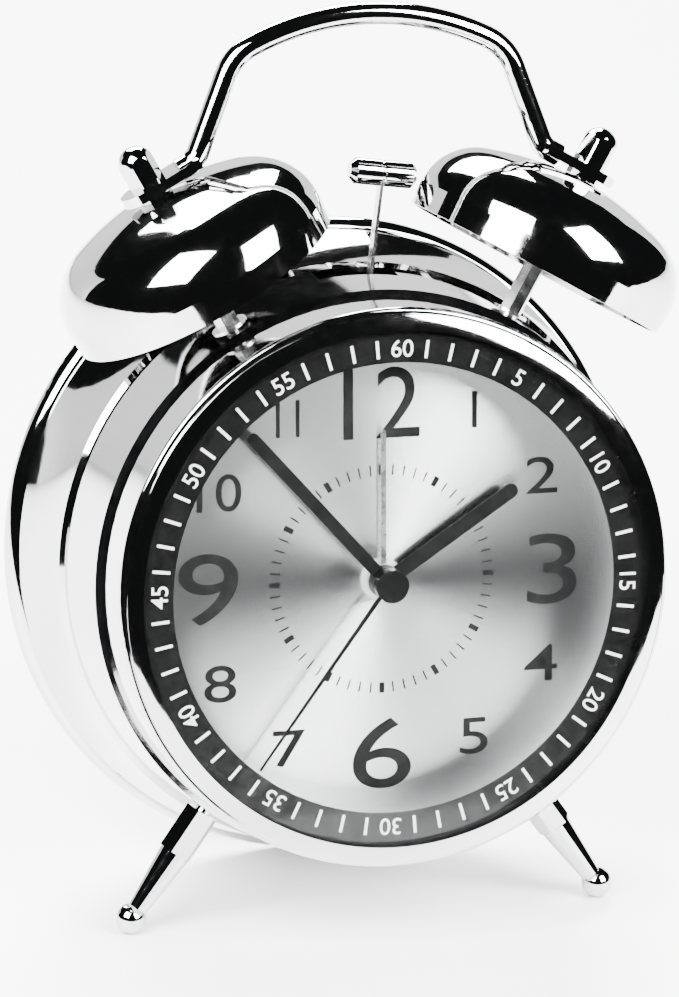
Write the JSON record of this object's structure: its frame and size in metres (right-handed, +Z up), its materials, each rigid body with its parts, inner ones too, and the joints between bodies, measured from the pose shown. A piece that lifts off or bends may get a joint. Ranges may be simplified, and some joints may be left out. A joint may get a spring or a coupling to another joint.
{
  "type": "alarm clock",
  "caption": "Round metal-cased alarm clock on a rim and ball feet, with bells on posts, a swinging hammer, a carry handle and a quartz wheel train.",
  "frame": {"origin": "middle of the footprint of the whole clock, on the surface it stands on", "axes": "+Z up, +Y from the dial towards the back, +X to the right as the dial is read"},
  "size_m": [0.12, 0.0716, 0.1668],
  "materials": {
    "chrome_plate": "polished",
    "bright_steel": "turned and polished",
    "lens_glass": "clear",
    "ring_black": "gloss, with printed white minute marks",
    "spacer_white": "satin",
    "dial_metal": "spun brushed, with printed black numerals",
    "hand_black": "gloss enamel",
    "hand_silver": "bright",
    "frame_grey": "moulded",
    "movement_white": "moulded",
    "gear_white": "moulded",
    "board_green": "solder resist",
    "motor_steel": "drawn can",
    "crank_brass": "turned",
    "cover_black": "fine moulded grain",
    "knob_grey": "moulded",
    "battery_label": "plain printed wrap",
    "contact_spring": "nickel plated"
  },
  "bodies": {
    "clock": {"case_shell": "chrome_plate", "front_bezel": "chrome_plate", "lens": "lens_glass", "chapter_ring": "ring_black", "dial_spacer": "spacer_white", "dial_plate": "dial_metal", "inner_frame": "frame_grey", "bell_left": "chrome_plate", "bell_right": "chrome_plate", "bell_post_left": "chrome_plate", "bell_post_right": "chrome_plate", "leg_left": "chrome_plate", "leg_right": "chrome_plate", "post_washers": "chrome_plate", "spacer_nuts": "chrome_plate", "acorn_nuts": "chrome_plate", "inner_nuts": "bright_steel", "carry_handle": "chrome_plate", "movement_front": "movement_white", "movement_back": "movement_white", "stepper_motor": "motor_steel", "circuit_board": "board_green", "hammer_bracket": "bright_steel", "bracket_screws": "bright_steel", "hammer_pivot": "bright_steel", "alarm_motor": "motor_steel", "back_cover": "cover_black", "cover_screws": "bright_steel", "battery": "battery_label", "battery_plate": "contact_spring", "battery_contact": "contact_spring", "switch_body": "frame_grey"},
    "hammer": {"hammer_head": "bright_steel", "hammer_rod": "bright_steel", "hammer_lever": "frame_grey"},
    "crank": {"motor_crank": "crank_brass"},
    "minute": {"minute_wheel": "gear_white", "minute_hand": "hand_black"},
    "hour": {"hour_wheel": "gear_white", "hour_hand": "hand_black"},
    "second": {"second_wheel": "gear_white", "second_hand": "hand_black", "centre_cap": "hand_black"},
    "third": {"third_wheel": "gear_white"},
    "middle": {"middle_wheel": "gear_white"},
    "alarm": {"alarm_wheel": "gear_white", "alarm_hand": "hand_silver"},
    "time_setting": {"time_arbor": "knob_grey", "time_knob": "knob_grey"},
    "alarm_setting": {"alarm_arbor": "knob_grey", "alarm_knob": "knob_grey"},
    "door": {"battery_door": "cover_black"},
    "switch": {"switch_slider": "knob_grey"}
  },
  "joints": [
    {"name": "minute_spin", "type": "hinge", "parent": "clock", "child": "minute", "pos_m": [0, -0.02141, 0.06652], "axis": [0, 0.9877, -0.1564], "continuous": true},
    {"name": "hour_spin", "type": "hinge", "parent": "clock", "child": "hour", "pos_m": [0, -0.02042, 0.06636], "axis": [0, 0.9877, -0.1564], "continuous": true},
    {"name": "second_spin", "type": "hinge", "parent": "clock", "child": "second", "pos_m": [0, -0.02239, 0.06668], "axis": [0, 0.9877, -0.1564], "continuous": true},
    {"name": "third_spin", "type": "hinge", "parent": "clock", "child": "third", "pos_m": [0, -0.00835, 0.05306], "axis": [0, 0.9877, -0.1564], "continuous": true},
    {"name": "middle_spin", "type": "hinge", "parent": "clock", "child": "middle", "pos_m": [0.01039, -0.00861, 0.07057], "axis": [0, 0.9877, -0.1564], "continuous": true},
    {"name": "time_knob_spin", "type": "hinge", "parent": "clock", "child": "time_setting", "pos_m": [0, 0.01512, 0.07339], "axis": [0, 0.9877, -0.1564], "continuous": true},
    {"name": "alarm_spin", "type": "hinge", "parent": "clock", "child": "alarm", "pos_m": [0, -0.01844, 0.06605], "axis": [0, 0.9877, -0.1564], "continuous": true},
    {"name": "alarm_knob_spin", "type": "hinge", "parent": "clock", "child": "alarm_setting", "pos_m": [-0.012, 0.01316, 0.06105], "axis": [0, 0.9877, -0.1564], "continuous": true},
    {"name": "hammer_swing", "type": "hinge", "parent": "clock", "child": "hammer", "pos_m": [0, 0.00434, 0.09484], "axis": [0, 0.9877, -0.1564], "range_deg": [-14.8, 0]},
    {"name": "crank_spin", "type": "hinge", "parent": "clock", "child": "crank", "pos_m": [0, 0.00483, 0.08515], "axis": [0, 0.9877, -0.1564], "continuous": true},
    {"name": "door_slide", "type": "slide", "parent": "clock", "child": "door", "axis": [0, -0.1564, -0.9877], "range_m": [0, 0.005]},
    {"name": "switch_slide", "type": "slide", "parent": "clock", "child": "switch", "axis": [1, 0, 0], "range_m": [0, 0.004]}
  ],
  "couplings": [
    {"joint": "minute_spin", "follows": "second_spin", "ratio": 0.016667},
    {"joint": "hour_spin", "follows": "second_spin", "ratio": 0.0013889},
    {"joint": "third_spin", "follows": "second_spin", "ratio": -0.13333},
    {"joint": "middle_spin", "follows": "second_spin", "ratio": -0.0055556},
    {"joint": "time_knob_spin", "follows": "second_spin", "ratio": -0.066667},
    {"joint": "alarm_spin", "follows": "alarm_knob_spin", "ratio": -0.33333}
  ]
}
